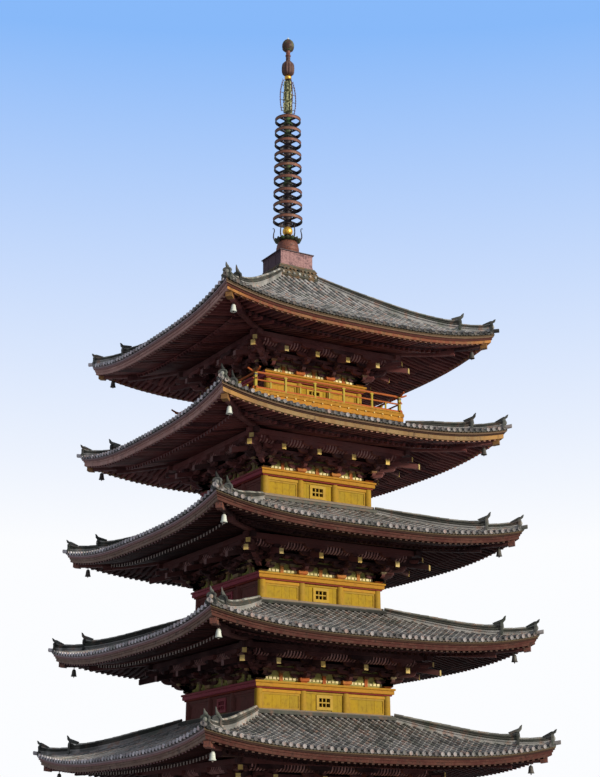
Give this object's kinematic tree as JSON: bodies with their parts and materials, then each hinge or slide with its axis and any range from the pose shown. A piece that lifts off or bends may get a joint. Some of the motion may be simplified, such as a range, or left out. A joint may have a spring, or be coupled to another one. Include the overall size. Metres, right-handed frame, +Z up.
{
  "type": "five-storey timber pagoda, 1:2 scale model",
  "caption": "Square tiered timber tower with curved tiled roofs, bracketed eaves, a railed top balcony and a ringed bronze finial on a central pillar",
  "frame": {"origin": "on the ground, on the tower's vertical axis, at the middle of the podium's underside", "axes": "+Z up along the heart pillar, -Y is the face seen at the right of the picture, -X the face at its left"},
  "size_m": [9.1408, 9.1408, 23],
  "materials": {
    "podium_stone": "dressed granite, weathered",
    "dark_timber": "old dark brown timber, nearly black under the eaves",
    "ochre_timber": "weathered yellow-ochre painted timber",
    "ochre_wall": "ochre-yellow wall boards, mottled",
    "door_timber": "brown planks with iron nail heads",
    "eave_timber": "dark red-brown rafters and boards",
    "roof_tile": "smoked grey clay tile, matt, mottled",
    "basin_metal": "dull pinkish-brown bronze sheet",
    "finial_bronze": "red-brown cast bronze with green patina"
  },
  "bodies": {
    "root": {"podium": "podium_stone", "heart_pillar": "dark_timber", "post_frame_1": "ochre_timber", "post_frame_2": "ochre_timber", "post_frame_3": "ochre_timber", "post_frame_4": "ochre_timber", "post_frame_5": "ochre_timber", "walls_1": "ochre_wall", "walls_2": "ochre_wall", "walls_3": "ochre_wall", "walls_4": "ochre_wall", "walls_5": "ochre_wall", "door_front": "door_timber", "door_right": "door_timber", "door_back": "door_timber", "door_left": "door_timber", "floor_2": "dark_timber", "floor_3": "dark_timber", "floor_4": "dark_timber", "floor_5": "dark_timber", "brackets_1": "dark_timber", "brackets_2": "dark_timber", "brackets_3": "dark_timber", "brackets_4": "dark_timber", "brackets_5": "dark_timber", "eaves_1": "eave_timber", "eaves_2": "eave_timber", "eaves_3": "eave_timber", "eaves_4": "eave_timber", "eaves_5": "eave_timber", "roof_1": "roof_tile", "roof_2": "roof_tile", "roof_3": "roof_tile", "roof_4": "roof_tile", "roof_5": "roof_tile", "roof_frame": "dark_timber", "balcony_5": "ochre_timber", "railing_5": "ochre_timber", "dew_basin": "basin_metal", "inverted_bowl": "finial_bronze", "lotus_cup": "finial_bronze", "nine_rings": "finial_bronze", "water_flame": "finial_bronze", "dragon_wheel": "finial_bronze", "jewel": "finial_bronze"}
  },
  "joints": []
}
